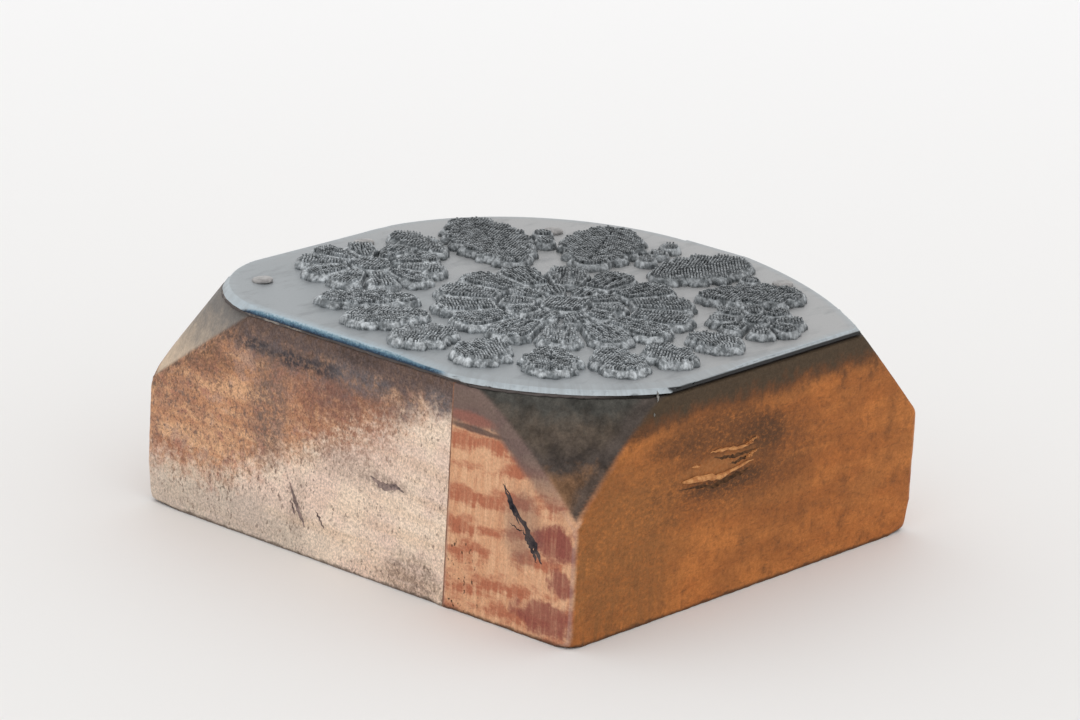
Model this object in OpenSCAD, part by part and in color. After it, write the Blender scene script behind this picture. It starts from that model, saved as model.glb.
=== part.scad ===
// Printing block: an etched relief plate on a card interlay, fixed with brads to a block of two glued boards.
// Frame: origin on the foot at the middle of the block, +X across the boards, +Y along the grain, +Z up.
// The front corner is at +X -Y, the right one at +X +Y, the left one at -X -Y and the back one at -X +Y.

/* [Block] */
// Width across the two boards
block_w = 53.5; // [50:0.5:70]
// Depth along the grain
block_d = 50; // [47:0.5:65]
// Height from the foot to the printing face, the height of type
type_high = 23.32; // [21:0.01:27]
// Radius worn on the upright edges
upright_r = 0.3; // [0.2:0.1:1.5]

/* [Boards] */
// Width of the narrow board
strip_w = 15.2; // [10:0.1:20]
// Thickness of the glue line
glue_t = 0.15; // [0.05:0.05:0.4]

/* [Sawn corners] */
// Lean of the sawn corners and the left side from upright, in degrees
saw_lean = 35; // [20:1:45]
// How far the left side's top edge is set in from the block's side
left_set_in = 1.9; // [0.5:0.1:3]
// Front corner: run along X at plate level
front_run_x = 14.6; // [8:0.1:18]
// Front corner: run along Y at plate level
front_run_y = 12.7; // [8:0.1:18]
// Front corner: radius of the sawn curve at plate level
front_r = 22; // [16:0.5:40]
// Right corner: lean of its cut from upright, in degrees
right_lean = 39; // [25:1:45]
// Right corner: run along X at plate level
right_run_x = 19.8; // [14:0.1:26]
// Right corner: run along Y at plate level
right_run_y = 9.8; // [6:0.1:14]
// Right corner: radius of the sawn curve at plate level
right_r = 50; // [35:0.5:70]
// Back corner: run along X at plate level
back_run_x = 22.1; // [18:0.1:27.5]
// Back corner: run along Y at plate level
back_run_y = 19.4; // [12:0.1:22]
// Back corner: radius of the sawn curve at plate level
back_r = 22.5; // [18.5:0.5:60]
// Left corner: run along X at plate level
left_run_x = 10.9; // [7:0.1:14]
// Left corner: run along Y at plate level
left_run_y = 14.5; // [8:0.1:18]
// Left corner: radius of the sawn curve at plate level
left_r = 13; // [11.5:0.5:30]

/* [Plate] */
// Thickness of the etched floor of the plate
floor_t = 0.65; // [0.5:0.05:1.5]
// Height of the printing face above the floor
relief_h = 1; // [0.4:0.02:1.2]
// How far the plate's straight edges stand back from the wood
plate_back = 0.15; // [0.05:0.05:0.6]
// Thickness of the card interlay
card_t = 0.25; // [0.1:0.05:0.6]
// How far the card has shrunk back from the right side
card_shrink = 0.7; // [0.1:0.1:2]

/* [Brads] */
// Diameter of the shank
brad_d = 1.1; // [0.8:0.1:1.6]
// Diameter of the head
brad_head_d = 2.4; // [1.6:0.1:2.6]
// Thickness of the head
brad_head_t = 0.4; // [0.2:0.05:0.6]
// Length under the head
brad_len = 12.7; // [8:0.1:18]
// Clearance of the shank in plate and card
brad_clear = 0.1; // [0.05:0.05:0.3]
// Room round a head in the raised design
brad_room = 0.3; // [0.1:0.05:1]
// Left brad: in from the left side
brad_left_x = 7.7; // [5:0.1:9]
// Left brad: in from the front
brad_left_y = 6.9; // [5:0.1:9]
// Right brad: in from the right side
brad_right_x = 13.4; // [11:0.1:15]
// Right brad: in from the back
brad_right_y = 5; // [4:0.1:7]
// Back brad: in from the left side
brad_back_x = 14.2; // [12:0.1:15]
// Back brad: in from the back
brad_back_y = 8.8; // [7:0.1:10]
// Far brad: in from the left side
brad_far_x = 5.2; // [4.5:0.1:7]
// Far brad: in from the front
brad_far_y = 23.6; // [20:0.1:26]

/* [Design] */
// Width of the sloped shoulder at the foot of the raised design
shoulder = 0.3; // [0.1:0.05:0.4]
// Gap between the feet of neighbouring petals
petal_gap = 0.2; // [0.1:0.05:0.4]
// Depth of the lines etched into the raised design
line_depth = 0.35; // [0.1:0.05:0.38]
// Depth of the lobes on a leaf, as a share of its half width
lobe_depth = 0.3; // [0.1:0.02:0.4]
// Length of a leaf from lobe to lobe
lobe_pitch = 2.3; // [1.8:0.1:3.5]
// Width of a leaf from line to line
line_pitch = 2; // [1.5:0.1:4]
// Large blossom: centre along X
bloom_x = 5.5; // [5:0.1:6]
// Large blossom: centre along Y
bloom_y = -3; // [-4:0.1:-2]
// Large blossom: outer radius
bloom_r = 12.2; // [10:0.1:12.6]
// Large blossom: radius between its two rings of petals
bloom_split_r = 6.2; // [5:0.1:7]
// Large blossom: radius of the heart
bloom_heart_r = 2.1; // [1.5:0.1:2.4]
// Large blossom: outer petals
bloom_petals = 14; // [9:1:15]
// Side blossom: centre along X
side_x = -14.8; // [-15:0.1:-14]
// Side blossom: centre along Y
side_y = -7.6; // [-8:0.1:-7]
// Side blossom: outer radius
side_r = 7; // [5.5:0.1:7.2]
// Side blossom: radius of the heart
side_heart_r = 1.8; // [1.4:0.1:2.2]
// Small blossom: centre along X
small_x = 20.2; // [19.5:0.1:20.5]
// Small blossom: centre along Y
small_y = 7.4; // [7:0.1:8]
// Small blossom: outer radius
small_r = 4.4; // [3.6:0.1:4.6]
// Small blossom: radius of the heart
small_heart_r = 1.2; // [1:0.1:1.4]
// Radius of a berry
berry_r = 0.9; // [0.6:0.1:1]
// Spacing of the berries in a row
berry_pitch = 2.7; // [2.5:0.1:2.8]

/* [Hidden] */
$fn = 64;
plate_t = floor_t + relief_h;
plate_z = type_high - plate_t;
wood_h = plate_z - card_t;
floor_z = plate_z + floor_t;
saw_rate = tan(saw_lean);
joint_x = block_w / 2 - strip_w;
left_top_x = -block_w / 2 + left_set_in;
past = 1;
root_depth = 0.2;
brad_tip = 2 * brad_d;
brad_crown = brad_head_t / 2;
bloom_inner_petals = 10;
side_petals = 10;
small_petals = 8;
leaf_off = 0.8;

// Each brad's name and place
BRADS = [
    ["brad_left", [-block_w / 2 + brad_left_x, -block_d / 2 + brad_left_y]],
    ["brad_right", [block_w / 2 - brad_right_x, block_d / 2 - brad_right_y]],
    ["brad_back", [-block_w / 2 + brad_back_x, block_d / 2 - brad_back_y]],
    ["brad_far", [-block_w / 2 + brad_far_x, -block_d / 2 + brad_far_y]]
];

// Leaves round a blossom: the foot's bearing, the leaf's turn from it, its length and its width
BLOOM_LEAVES = [
    [92, -12, 11.6, 7.6],
    [122, -4, 13.6, 8],
    [150, 1, 15.4, 8.4],
    [63, -8, 10.4, 6.4],
    [9, -2, 5.4, 4.6],
    [-13, -5, 5.8, 4.8],
    [-33, 3, 6.8, 5.2],
    [-54, 4, 7, 5.4],
    [-75, 0, 6.6, 5.4],
    [-97, -3, 6.8, 5.4],
    [-117, -6, 8, 5.2],
    [-137, 4, 9.4, 4.6]
];
SIDE_LEAVES = [
    [78, 90, 8, 4.2]
];

// Rows of berries running out from the large blossom: bearing, distance of the first and count
BERRY_ROWS = [
    [105, 18.2, 3],
    [136, 21, 2],
    [73, 21, 1]
];

// Centre of the arc of radius r through p and q, on the block's side of the chord
function arc_centre(p, q, r) =
    let (half = norm(q - p) / 2,
         across = [p[1] - q[1], q[0] - p[0]] / (2 * half),
         reach = sqrt(r * r - half * half),
         a = (p + q) / 2 + reach * across,
         b = (p + q) / 2 - reach * across)
    norm(a) < norm(b) ? a : b;

// What the saw takes off one corner: all that lies outside an upright cone that widens downwards
module sawn_corner(corner, run_x, run_y, r, rate = saw_rate) {
    side_x = sign(corner[0]);
    side_y = sign(corner[1]);
    centre = arc_centre(corner - [side_x * run_x, 0], corner - [0, side_y * run_y], r);
    reach = block_w + block_d;
    low = -past;
    high = type_high + past;
    difference() {
        translate([side_x > 0 ? centre[0] : centre[0] - reach, side_y > 0 ? centre[1] : centre[1] - reach, low])
            cube([reach, reach, high - low]);
        translate([centre[0], centre[1], low - past])
            cylinder(h = high - low + 2 * past,
                     r1 = r + rate * (plate_z - low + past),
                     r2 = r - rate * (high + past - plate_z));
    }
}

// The slant along the top of the left side
module left_slant() {
    high = type_high + past;
    low = plate_z - (left_set_in + past) / saw_rate;
    rotate([90, 0, 0])
        linear_extrude(height = block_d + 2 * past, center = true)
            polygon([
                [left_top_x + saw_rate * (high - plate_z), high],
                [-block_w / 2 - past, high],
                [-block_w / 2 - past, low]
            ]);
}

// The round worn on one upright edge
module upright_round(side_x, side_y) {
    x = side_x * (block_w / 2 - upright_r);
    y = side_y * (block_d / 2 - upright_r);
    size = upright_r + past;
    difference() {
        translate([side_x > 0 ? x : x - size, side_y > 0 ? y : y - size, -past])
            cube([size, size, type_high + 2 * past]);
        translate([x, y, -2 * past])
            cylinder(r = upright_r, h = type_high + 4 * past);
    }
}

// Everything that is sawn and worn off the squared block
module trimmings() {
    sawn_corner([block_w / 2, -block_d / 2], front_run_x, front_run_y, front_r);
    sawn_corner([block_w / 2, block_d / 2], right_run_x, right_run_y, right_r, tan(right_lean));
    sawn_corner([left_top_x, block_d / 2], back_run_x, back_run_y, back_r);
    sawn_corner([left_top_x, -block_d / 2], left_run_x, left_run_y, left_r);
    left_slant();
    for (side_x = [-1, 1], side_y = [-1, 1])
        upright_round(side_x, side_y);
}

// A slab of the squared block between two X and two Z positions, set back from the sides and trimmed
module trimmed_slab(x0, x1, z0, z1, back = 0) {
    difference() {
        translate([x0 + back, -block_d / 2 + back, z0])
            cube([x1 - x0 - 2 * back, block_d - 2 * back, z1 - z0]);
        trimmings();
    }
}

// A brad, its head's underside at z = 0
module brad() {
    rotate_extrude()
        polygon([
            [0, -brad_len],
            [brad_d / 2, -brad_len + brad_tip],
            [brad_d / 2, 0],
            [brad_head_d / 2, 0],
            [brad_head_d / 2, brad_head_t - brad_crown],
            [brad_head_d / 2 - brad_crown, brad_head_t],
            [0, brad_head_t]
        ]);
}

// Moves its children to a place on the plate's floor
module at(place) {
    translate([place[0], place[1], floor_z])
        children();
}

module at_brads() {
    for (item = BRADS)
        at(item[1]) children();
}

module one_brad(name) {
    color("dimgray")
        for (item = BRADS)
            if (item[0] == name)
                at(item[1]) brad();
}

module brad_holes() {
    at_brads()
        translate([0, 0, -floor_t - card_t - past])
            cylinder(d = brad_d + 2 * brad_clear, h = floor_t + card_t + 2 * past);
}

module wide_board() {
    color("burlywood")
        difference() {
            trimmed_slab(-block_w / 2, joint_x - glue_t / 2, 0, wood_h);
            at_brads() brad();
        }
}

module edge_strip() {
    color("rosybrown")
        difference() {
            trimmed_slab(joint_x + glue_t / 2, block_w / 2, 0, wood_h);
            at_brads() brad();
        }
}

module glue_seam() {
    color("saddlebrown")
        trimmed_slab(joint_x - glue_t / 2, joint_x + glue_t / 2, 0, wood_h);
}

module interlay_card() {
    color("wheat")
        difference() {
            trimmed_slab(-block_w / 2, block_w / 2 - card_shrink, wood_h, plate_z, plate_back);
            brad_holes();
        }
}

// Roundness of a petal at u, from its foot at 0 to its tip at 1
petal_belly = 0.55;
petal_end = 1.04;
function petal_round(u) =
    u < petal_belly ? 1 : sqrt(petal_end - pow((u - petal_belly) / (1 - petal_belly), 2));

// Half width of a lobed leaf at u, from its stalk at 0 to its tip at 1
leaf_stalk = 0.1;
leaf_fullness = 0.6;
leaf_skew = 1.2;
function leaf_half(u, w, lobes) =
    w / 2 * (leaf_stalk + (1 - leaf_stalk) * pow(sin(180 * pow(u, leaf_skew)), leaf_fullness))
        * (1 - lobe_depth * (1 - abs(sin(180 * lobes * u))));

// One cross-section of a ribbed form: up one shoulder, over its ribs and the lines between, down the other
line_share = 0.15;
function ribbed_section(half, ribs, dip) =
    let (pitch = 2 * half / ribs, line = line_share * pitch)
    concat(
        [[-half - shoulder, -root_depth]],
        [for (j = [0 : ribs - 1]) each concat(
            j > 0 ? [[-half + j * pitch, relief_h - dip]] : [],
            [[-half + j * pitch + (j > 0 ? line : 0), relief_h],
             [-half + (j + 1) * pitch - (j < ribs - 1 ? line : 0), relief_h]])],
        [[half + shoulder, -root_depth]]);

// A raised form along +X with the half widths given, its lines fading out at both ends
module ribbed_form(length, halves, ribs) {
    steps = len(halves) - 1;
    count = 3 * ribs + 1;
    points = [for (i = [0 : steps])
        let (u = i / steps, section = ribbed_section(halves[i], ribs, line_depth * sin(180 * u)))
        for (p = section)
            [p[1] < 0 ? -shoulder + u * (length + 2 * shoulder) : u * length, p[0], p[1]]];
    walls = [for (i = [0 : steps - 1], j = [0 : count - 1])
        let (a = i * count + j,
             b = i * count + (j + 1) % count)
        each [[a, b, a + count], [b, b + count, a + count]]];
    caps = [for (j = [1 : count - 2])
        each [[0, j + 1, j], [steps * count, steps * count + j, steps * count + j + 1]]];
    polyhedron(points, concat(walls, caps));
}

// A ring of petals between two radii, each as wide as its share of the ring allows
module petal_ring(r_in, r_out, petals, ribs, steps = 6) {
    length = r_out - r_in;
    halves = [for (i = [0 : steps])
        let (u = i / steps)
        petal_round(u) * (PI * (r_in + u * length) / petals - shoulder - petal_gap / 2)];
    for (k = [0 : petals - 1])
        rotate([0, 0, 360 * k / petals])
            translate([r_in, 0, 0])
                ribbed_form(length, halves, ribs);
}

// A round stud, the heart of a blossom or a berry
module stud(r) {
    translate([0, 0, -root_depth])
        cylinder(h = root_depth + relief_h, r1 = r + shoulder, r2 = r);
}

// Leaves whose stalks stand just off a circle
module leaves(list, r, steps_per_lobe = 3) {
    for (item = list) {
        length = item[2];
        width = item[3];
        lobes = max(3, round(length / lobe_pitch));
        ribs = 2 * max(1, round(width / line_pitch / 2));
        steps = steps_per_lobe * lobes;
        rotate([0, 0, item[0]])
            translate([r + 2 * shoulder + leaf_off, 0, 0])
                rotate([0, 0, item[1]])
                    ribbed_form(length, [for (i = [0 : steps]) leaf_half(i / steps, width, lobes)], ribs);
    }
}

module berries() {
    for (row = BERRY_ROWS, k = [0 : row[2] - 1])
        rotate([0, 0, row[0]])
            translate([row[1] + k * berry_pitch, 0, 0])
                stud(berry_r);
}

module large_blossom() {
    step = shoulder + petal_gap / 2;
    petal_ring(bloom_split_r + step, bloom_r, bloom_petals, 3);
    petal_ring(bloom_heart_r + 2 * step, bloom_split_r - step, bloom_inner_petals, 2);
    stud(bloom_heart_r);
    leaves(BLOOM_LEAVES, bloom_r);
    berries();
}

module side_blossom() {
    petal_ring(side_heart_r + 2 * shoulder + petal_gap, side_r, side_petals, 2);
    stud(side_heart_r);
    leaves(SIDE_LEAVES, side_r);
}

module small_blossom() {
    petal_ring(small_heart_r + 2 * shoulder + petal_gap, small_r, small_petals, 2);
    stud(small_heart_r);
}

// The design, kept clear of the brads' heads
module raised_design() {
    difference() {
        union() {
            at([bloom_x, bloom_y]) large_blossom();
            at([side_x, side_y]) side_blossom();
            at([small_x, small_y]) small_blossom();
        }
        at_brads()
            translate([0, 0, -root_depth - past])
                cylinder(d = brad_head_d + 2 * brad_room, h = root_depth + relief_h + 2 * past);
    }
}

module relief_plate() {
    color("slategray")
        difference() {
            union() {
                trimmed_slab(-block_w / 2, block_w / 2, plate_z, floor_z, plate_back);
                raised_design();
            }
            brad_holes();
        }
}

wide_board();
edge_strip();
glue_seam();
interlay_card();
relief_plate();
one_brad("brad_left");  // brad_left
one_brad("brad_right");  // brad_right
one_brad("brad_back");  // brad_back
one_brad("brad_far");  // brad_far
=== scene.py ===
import math
import random

import bpy
import numpy as np
from mathutils import Matrix, Vector, kdtree


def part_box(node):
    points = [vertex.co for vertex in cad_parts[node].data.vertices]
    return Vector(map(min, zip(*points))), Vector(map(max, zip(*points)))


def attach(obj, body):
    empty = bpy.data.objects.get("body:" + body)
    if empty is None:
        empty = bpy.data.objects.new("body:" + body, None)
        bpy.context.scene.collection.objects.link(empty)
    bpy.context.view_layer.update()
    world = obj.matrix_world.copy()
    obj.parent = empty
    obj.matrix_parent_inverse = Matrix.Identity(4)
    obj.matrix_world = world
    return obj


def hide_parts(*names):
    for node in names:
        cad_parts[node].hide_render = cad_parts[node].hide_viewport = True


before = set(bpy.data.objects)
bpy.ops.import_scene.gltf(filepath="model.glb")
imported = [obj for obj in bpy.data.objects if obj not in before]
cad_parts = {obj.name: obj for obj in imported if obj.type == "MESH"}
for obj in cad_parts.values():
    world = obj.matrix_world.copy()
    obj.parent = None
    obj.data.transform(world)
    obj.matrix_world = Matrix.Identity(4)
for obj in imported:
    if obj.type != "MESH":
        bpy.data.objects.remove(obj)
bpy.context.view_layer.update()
mm = 0.001
nodeMerge = 0.002  # joins the loose triangles of a CAD node
print("frame loaded")


# Selecting, modifiers and copies
def deselectAll():
    if bpy.context.mode != "OBJECT":
        bpy.ops.object.mode_set(mode="OBJECT")
    bpy.ops.object.select_all(action="DESELECT")


def pick(piece):
    deselectAll()
    piece.select_set(True)
    bpy.context.view_layer.objects.active = piece


def editMode(kind):
    bpy.context.tool_settings.mesh_select_mode = [kind == name for name in ("VERT", "EDGE", "FACE")]
    bpy.ops.object.mode_set(mode="EDIT")


def objectMode():
    bpy.ops.object.mode_set(mode="OBJECT")


def selectOnly(piece, kind, wanted):
    pick(piece)
    mesh = piece.data
    for items in (mesh.vertices, mesh.edges, mesh.polygons):
        items.foreach_set("select", [False] * len(items))
    for item in mesh.polygons if kind == "FACE" else mesh.vertices:
        item.select = wanted(item)
    editMode(kind)


def selectAll(piece):
    pick(piece)
    editMode("FACE")
    selectEverything()


def selectEverything():
    bpy.ops.mesh.select_all(action="SELECT")


def faceOutwards():
    selectEverything()
    bpy.ops.mesh.normals_make_consistent(inside=False)


def extrudeUp(rise):
    bpy.ops.mesh.extrude_region_move(TRANSFORM_OT_translate={"value": (0, 0, rise)})


def smoothBelow(degrees):
    bpy.ops.object.shade_smooth_by_angle(angle=math.radians(degrees))


def mergeClose(piece, distance):
    selectAll(piece)
    bpy.ops.mesh.remove_doubles(threshold=distance * mm)
    objectMode()


def applyModifier(piece, kind, **values):
    pick(piece)
    modifier = piece.modifiers.new(kind.title(), kind)
    for key, value in values.items():
        setattr(modifier, key, value)
    bpy.ops.object.modifier_apply(modifier=modifier.name)


def joinPieces(pieces, name):
    deselectAll()
    for piece in pieces:
        piece.select_set(True)
    bpy.context.view_layer.objects.active = pieces[0]
    if len(pieces) > 1:
        bpy.ops.object.join()
    joined = bpy.context.view_layer.objects.active
    joined.name = name
    joined.data.name = name
    return joined


def copyPiece(piece, matrix):
    twin = piece.copy()
    twin.data = piece.data.copy()
    twin.data.transform(matrix)
    bpy.context.scene.collection.objects.link(twin)
    return twin


def copyNode(node, name):
    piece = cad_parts[node].copy()
    piece.data = piece.data.copy()
    for key in list(piece.keys()):
        del piece[key]
    piece.parent = None
    piece.name = name
    piece.data.name = name
    bpy.context.scene.collection.objects.link(piece)
    mergeClose(piece, nodeMerge)
    return piece


def setMaterials(piece, *materials):
    piece.data.materials.clear()
    for material in materials:
        piece.data.materials.append(material)


def finishPiece(piece, slot, *nodes):
    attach(piece, "root")
    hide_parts(*nodes)


def vertexArray(mesh):
    spots = np.empty(len(mesh.vertices) * 3, np.float32)
    mesh.vertices.foreach_get("co", spots)
    return spots.reshape(-1, 3) / mm


def placeVertices(mesh, spots):
    mesh.vertices.foreach_set("co", (spots * mm).astype(np.float32).ravel())
    mesh.update()


# Values that the materials read on each point
def addMarks(mesh, marks):
    for name, values in marks.items():
        mark = mesh.attributes.new(name, "FLOAT", "POINT")
        mark.data.foreach_set("value", values.astype(np.float32))


# Node helpers: every pattern is laid out in millimetres on Object coordinates
def startMaterial(name, metallic, roughness, specular=0.5):
    material = bpy.data.materials.new(name)
    material.use_nodes = True
    nodes = material.node_tree.nodes
    shader = nodes["Principled BSDF"]
    gloss = {"Metallic": metallic, "Roughness": roughness, "Specular IOR Level": specular}
    for socket, value in gloss.items():
        shader.inputs[socket].default_value = value
    place = stretched(nodes.new("ShaderNodeTexCoord").outputs["Object"], (1 / mm, 1 / mm, 1 / mm))
    return material, shader, place


# A new node in the tree that the sockets among the values belong to
def addNode(kind, *values):
    socket = next(value for value in values if isinstance(value, bpy.types.NodeSocket))
    return socket.id_data.nodes.new("ShaderNode" + kind)


def feed(socket, value):
    if isinstance(value, (int, float)):
        socket.default_value = value
    elif isinstance(value, tuple):
        socket.default_value = (*value, 1.0)
    else:
        socket.id_data.links.new(value, socket)


def stretched(vector, scale, location=(0, 0, 0), turn=(0, 0, 0)):
    node = addNode("Mapping", vector)
    for socket, value in (("Location", location), ("Rotation", turn), ("Scale", scale)):
        node.inputs[socket].default_value = value
    feed(node.inputs["Vector"], vector)
    return node.outputs["Vector"]


# A scale of three numbers stretches the pattern
def noise(vector, scale, detail=3, roughness=0.5, turn=(0, 0, 0)):
    if isinstance(scale, tuple):
        vector, scale = stretched(vector, scale, turn=turn), 1.0
    node = addNode("TexNoise", vector)
    for socket, value in (("Scale", scale), ("Detail", detail), ("Roughness", roughness)):
        node.inputs[socket].default_value = value
    feed(node.inputs["Vector"], vector)
    return node.outputs["Fac"]


def sums(operation, *values):
    node = addNode("Math", *values)
    node.operation = operation
    for socket, value in zip(node.inputs, values):
        feed(socket, value)
    return node.outputs[0]


def times(a, b):
    return sums("MULTIPLY", a, b)


# A value pushed up and down by a pattern, by the amount in all
def jostled(value, pattern, amount):
    return sums("ADD", value, sums("MULTIPLY_ADD", pattern, amount, -amount / 2))


def fit(value, low, high, toLow=0.0, toHigh=1.0, kind="SMOOTHSTEP"):
    node = addNode("MapRange", value)
    node.interpolation_type = kind
    for socket, number in zip(("From Min", "From Max", "To Min", "To Max"), (low, high, toLow, toHigh)):
        node.inputs[socket].default_value = number
    feed(node.inputs["Value"], value)
    return node.outputs["Result"]


def mix(factor, a, b):
    node = addNode("Mix", factor, a, b)
    node.data_type = "RGBA"
    for k, value in ((0, factor), (6, a), (7, b)):
        feed(node.inputs[k], value)
    return node.outputs[2]


def ramp(value, *stops):
    node = addNode("ValToRGB", value)
    points = node.color_ramp.elements
    while len(points) < len(stops):
        points.new(0.5)
    for point, (where, colour) in zip(points, stops):
        point.position = where
        point.color = (*colour, 1.0)
    feed(node.inputs["Fac"], value)
    return node.outputs["Color"]


def toned(colour, pattern, low, high, dark, light, kind="LINEAR"):
    node = addNode("HueSaturation", colour)
    feed(node.inputs["Value"], fit(pattern, low, high, dark, light, kind))
    feed(node.inputs["Color"], colour)
    return node.outputs["Color"]


def split(vector):
    node = addNode("SeparateXYZ", vector)
    feed(node.inputs[0], vector)
    return tuple(node.outputs)


def column(value):
    node = addNode("CombineXYZ", value)
    feed(node.inputs["Z"], value)
    return node.outputs[0]


def surfaceMark(place, name):
    node = addNode("Attribute", place)
    node.attribute_name = name
    return node.outputs["Fac"]


# A ragged stain round a centre; a radius of 0 leaves that axis out
def stain(place, centre, radii, ragged, grain, soft=0.5):
    scale = tuple(1 / r if r else 0 for r in radii)
    local = stretched(place, scale, tuple(-c * s for c, s in zip(centre, scale)))
    length = addNode("VectorMath", local)
    length.operation = "LENGTH"
    feed(length.inputs[0], local)
    rough = jostled(length.outputs["Value"], noise(place, grain, 5, 0.62), 2 * ragged)
    return fit(rough, 1 + soft / 2, 1 - soft / 2)


# Lays a colour over another, as deep as a pattern between two of its values says
def laid(colour, tone, pattern, low, high, depth=1.0):
    return mix(fit(pattern, low, high, 0, depth), colour, tone)


def finishMaterial(material, shader, colour, height=None, distance=0.0, strength=0.6):
    feed(shader.inputs["Base Color"], colour)
    if height is not None:
        node = addNode("Bump", height)
        node.inputs["Strength"].default_value = strength
        node.inputs["Distance"].default_value = distance * mm
        feed(node.inputs["Height"], height)
        feed(shader.inputs["Normal"], node.outputs["Normal"])
    return material


# Camera: fitted to the block's corners in the photograph, image taken as 1080 wide
cameraSettings = {
    "azimuth": 40.169,
    "elevation": 17.575,
    "roll": 3.197,
    "distance": 484.54,
    "aside": 1.115,
    "above": 14.824,
    "focalPixels": 5054,
    "imageWidth": 1080,
    "sensor": 36,
}


def makeCamera(s):
    azimuth, elevation, roll = (math.radians(s[k]) for k in ("azimuth", "elevation", "roll"))
    flat = math.cos(elevation)
    back = Vector((math.sin(azimuth) * flat, -math.cos(azimuth) * flat, math.sin(elevation)))
    level = Vector((math.cos(azimuth), math.sin(azimuth), 0))
    upright = back.cross(level)
    right = math.cos(roll) * level + math.sin(roll) * upright
    up = math.cos(roll) * upright - math.sin(roll) * level
    data = bpy.data.cameras.new("camera")
    data.sensor_width = s["sensor"]
    data.lens = s["focalPixels"] * s["sensor"] / s["imageWidth"]
    data.clip_start = 0.01
    camera = bpy.data.objects.new("camera", data)
    bpy.context.scene.collection.objects.link(camera)
    turned = Matrix((right, up, back)).transposed().to_4x4()
    turned.translation = (s["aside"] * right + s["above"] * up + s["distance"] * back) * mm
    camera.matrix_world = turned
    bpy.context.scene.camera = camera


makeCamera(cameraSettings)
print("camera set")

# Pale floor, white surroundings and one broad soft lamp
stageSettings = {
    "floorSize": 6.0,
    "floorNear": (0.83, 0.818, 0.805),
    "floorFar": (0.965, 0.965, 0.97),
    "fadeFrom": -100,
    "fadeTo": 600,
    "worldStrength": 1.0,
    "lampPower": 0.42,
    "lampSize": 1.0,
    "lampPlace": (0.09, -0.42, 0.62),
}


def makeStage(s):
    deselectAll()
    bpy.ops.mesh.primitive_plane_add(size=s["floorSize"])
    floor = bpy.context.object
    floor.name = "floor"
    material, shader, place = startMaterial("paleFloor", 0.0, 0.7)
    x, y = split(place)[:2]
    away = fit(sums("SUBTRACT", y, x), s["fadeFrom"], s["fadeTo"])
    setMaterials(floor, finishMaterial(material, shader, mix(away, s["floorNear"], s["floorFar"])))
    world = bpy.data.worlds.new("studio")
    world.use_nodes = True
    background = world.node_tree.nodes["Background"].inputs
    background["Strength"].default_value = s["worldStrength"]
    background["Color"].default_value = (1, 1, 1, 1)
    bpy.context.scene.world = world
    data = bpy.data.lights.new("softLamp", "AREA")
    data.energy = s["lampPower"]
    data.size = s["lampSize"]
    lamp = bpy.data.objects.new("softLamp", data)
    lamp.location = s["lampPlace"]
    lamp.rotation_euler = Vector(s["lampPlace"]).to_track_quat("Z", "Y").to_euler()
    bpy.context.scene.collection.objects.link(lamp)
    bpy.context.scene.view_settings.view_transform = "Standard"


makeStage(stageSettings)
print("stage and light set")

# Where things lie, from the frame, in millimetres
boardLow, boardHigh = (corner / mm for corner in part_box("wide_board"))
stripLow, stripHigh = (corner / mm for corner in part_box("edge_strip"))
plateLow, plateHigh = (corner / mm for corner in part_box("relief_plate"))
cardLow, cardHigh = (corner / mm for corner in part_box("interlay_card"))
frontY = boardLow.y
backY = boardHigh.y
leftX = boardLow.x
rightX = stripHigh.x
frontFade = 5  # marks of the front fade out this far from the middle

# Wood of the wide board: end grain to front and back, long grain on the left
paleWood = {
    "cream": (0.86, 0.69, 0.545),
    "rose": (0.785, 0.597, 0.49),
    "tan": (0.62, 0.42, 0.27),
    "peach": (0.68, 0.375, 0.20),
    "orange": (0.52, 0.245, 0.12),
    "rust": (0.31, 0.13, 0.078),
    "mauve": (0.42, 0.27, 0.22),
    "plum": (0.16, 0.085, 0.075),
    "stroke": (0.19, 0.13, 0.105),
    "ink": (0.125, 0.09, 0.084),
    "inkBlue": (0.143, 0.134, 0.142),
    "blot": (0.05, 0.044, 0.048),
    "flush": (0.43, 0.17, 0.115),
    "speck": (0.11, 0.065, 0.045),
    "wash": (0.45, 0.39, 0.33),
    "longGrain": (0.34, 0.175, 0.088),
    "longPale": (0.50, 0.30, 0.165),
    "sawnHigh": (0.195, 0.18, 0.167),
    "sawnLow": (0.64, 0.50, 0.37),
    "darkBrown": (0.07, 0.05, 0.04),
    "foot": (0.45, 0.1, 0, 0.75),
    "orangeLine": (-17, 10, 4.4, 18.5),
    "inkCentre": (-3, 0, 24.0),
    "inkRadii": (19, 0, 7.4),
    # across, up, two radii, depth and colour of smaller stains
    "patches": (
        (-3.0, 14.6, 8.0, 3.4, 0.6, "rust"),
        (-3.4, 15.8, 3.6, 1.6, 0.5, "plum"),
        (-11.0, 13.2, 2.4, 5.4, 0.8, "stroke"),
        (-8.3, 18.6, 2.6, 0.8, 0.95, "blot"),
        (-4.2, 18.7, 2.2, 0.8, 0.85, "blot"),
        (0.0, 21.2, 2.8, 0.9, 1.0, "blot"),
        (-13.4, 18.9, 3.0, 0.7, 0.85, "blot"),
        (0.5, 18.6, 3.4, 1.2, 0.6, "inkBlue"),
        (-18.5, 16.0, 3.5, 1.4, 0.5, "speck"),
        (-24.0, 5.8, 2.4, 0.9, 0.55, "rust"),
        (7.6, 1.4, 3.5, 2.5, 0.62, "speck"),
        (9.8, 19.2, 1.7, 1.2, 0.7, "inkBlue"),
        (4.0, 9.8, 2.8, 0.8, 0.65, "stroke"),
        (-1.5, 10.4, 4.0, 1.6, 0.4, "stroke"),
        (-7.0, 4.6, 1.2, 2.8, 0.4, "stroke"),
    ),
}
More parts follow.
